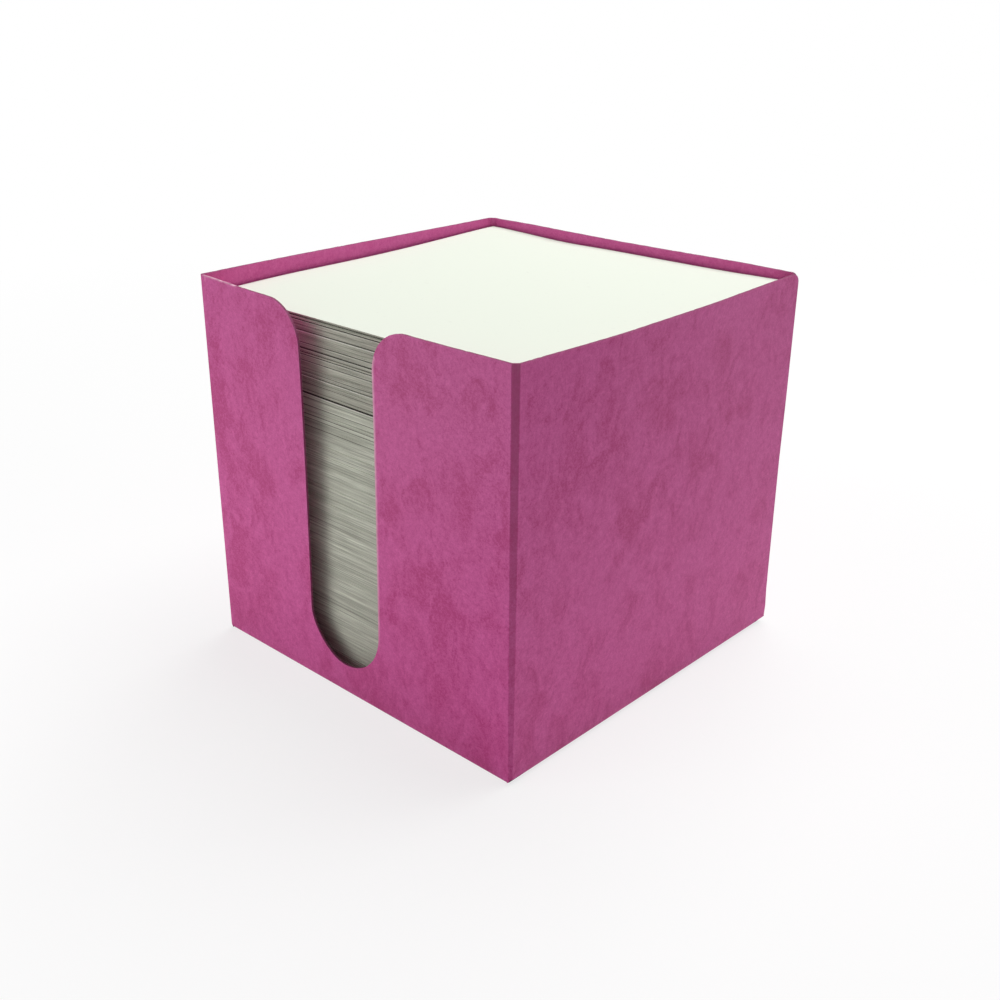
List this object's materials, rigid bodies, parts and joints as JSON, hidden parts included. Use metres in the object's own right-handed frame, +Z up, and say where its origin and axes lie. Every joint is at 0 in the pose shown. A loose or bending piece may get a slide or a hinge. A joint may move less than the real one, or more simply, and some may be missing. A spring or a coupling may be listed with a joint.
{
  "type": "memo cube holder",
  "caption": "Open square box folded from pressboard, with a rounded thumb notch in one wall, filled with a block of loose memo sheets that lift out.",
  "frame": {"origin": "middle of the base, at the height of the face it stands on", "axes": "+Z up, -Y out of the wall with the thumb notch, +X to the right when that wall is looked at"},
  "size_m": [0.0954, 0.0954, 0.0897],
  "materials": {
    "pressboard": "satin, dyed through, clouded",
    "glue": "dried adhesive film",
    "memo_paper": "matt, uncoated"
  },
  "bodies": {
    "holder": {"front_wall": "pressboard", "right_wall": "pressboard", "back_wall": "pressboard", "left_wall": "pressboard", "seam_flap": "pressboard", "front_base_flap": "pressboard", "back_base_flap": "pressboard", "right_base_flap": "pressboard", "left_base_flap": "pressboard", "seam_glue": "glue", "base_glue": "glue"},
    "lower_batch": {"lower_batch": "memo_paper"},
    "upper_batch": {"upper_batch": "memo_paper"},
    "sheet_1": {"sheet_1": "memo_paper"},
    "sheet_2": {"sheet_2": "memo_paper"},
    "sheet_3": {"sheet_3": "memo_paper"},
    "sheet_4": {"sheet_4": "memo_paper"},
    "sheet_5": {"sheet_5": "memo_paper"},
    "sheet_6": {"sheet_6": "memo_paper"},
    "sheet_7": {"sheet_7": "memo_paper"},
    "sheet_8": {"sheet_8": "memo_paper"}
  },
  "joints": [
    {"name": "lower_batch_lift", "type": "slide", "parent": "holder", "child": "lower_batch", "axis": [0, 0, 1], "range_m": [0, 0.095]},
    {"name": "upper_batch_lift", "type": "slide", "parent": "lower_batch", "child": "upper_batch", "axis": [0, 0, 1], "range_m": [0, 0.03]},
    {"name": "sheet_1_lift", "type": "slide", "parent": "upper_batch", "child": "sheet_1", "axis": [0, 0, 1], "range_m": [0, 0.01]},
    {"name": "sheet_2_lift", "type": "slide", "parent": "sheet_1", "child": "sheet_2", "axis": [0, 0, 1], "range_m": [0, 0.01]},
    {"name": "sheet_3_lift", "type": "slide", "parent": "sheet_2", "child": "sheet_3", "axis": [0, 0, 1], "range_m": [0, 0.01]},
    {"name": "sheet_4_lift", "type": "slide", "parent": "sheet_3", "child": "sheet_4", "axis": [0, 0, 1], "range_m": [0, 0.01]},
    {"name": "sheet_5_lift", "type": "slide", "parent": "sheet_4", "child": "sheet_5", "axis": [0, 0, 1], "range_m": [0, 0.01]},
    {"name": "sheet_6_lift", "type": "slide", "parent": "sheet_5", "child": "sheet_6", "axis": [0, 0, 1], "range_m": [0, 0.01]},
    {"name": "sheet_7_lift", "type": "slide", "parent": "sheet_6", "child": "sheet_7", "axis": [0, 0, 1], "range_m": [0, 0.01]},
    {"name": "sheet_8_lift", "type": "slide", "parent": "sheet_7", "child": "sheet_8", "axis": [0, 0, 1], "range_m": [0, 0.01]}
  ]
}
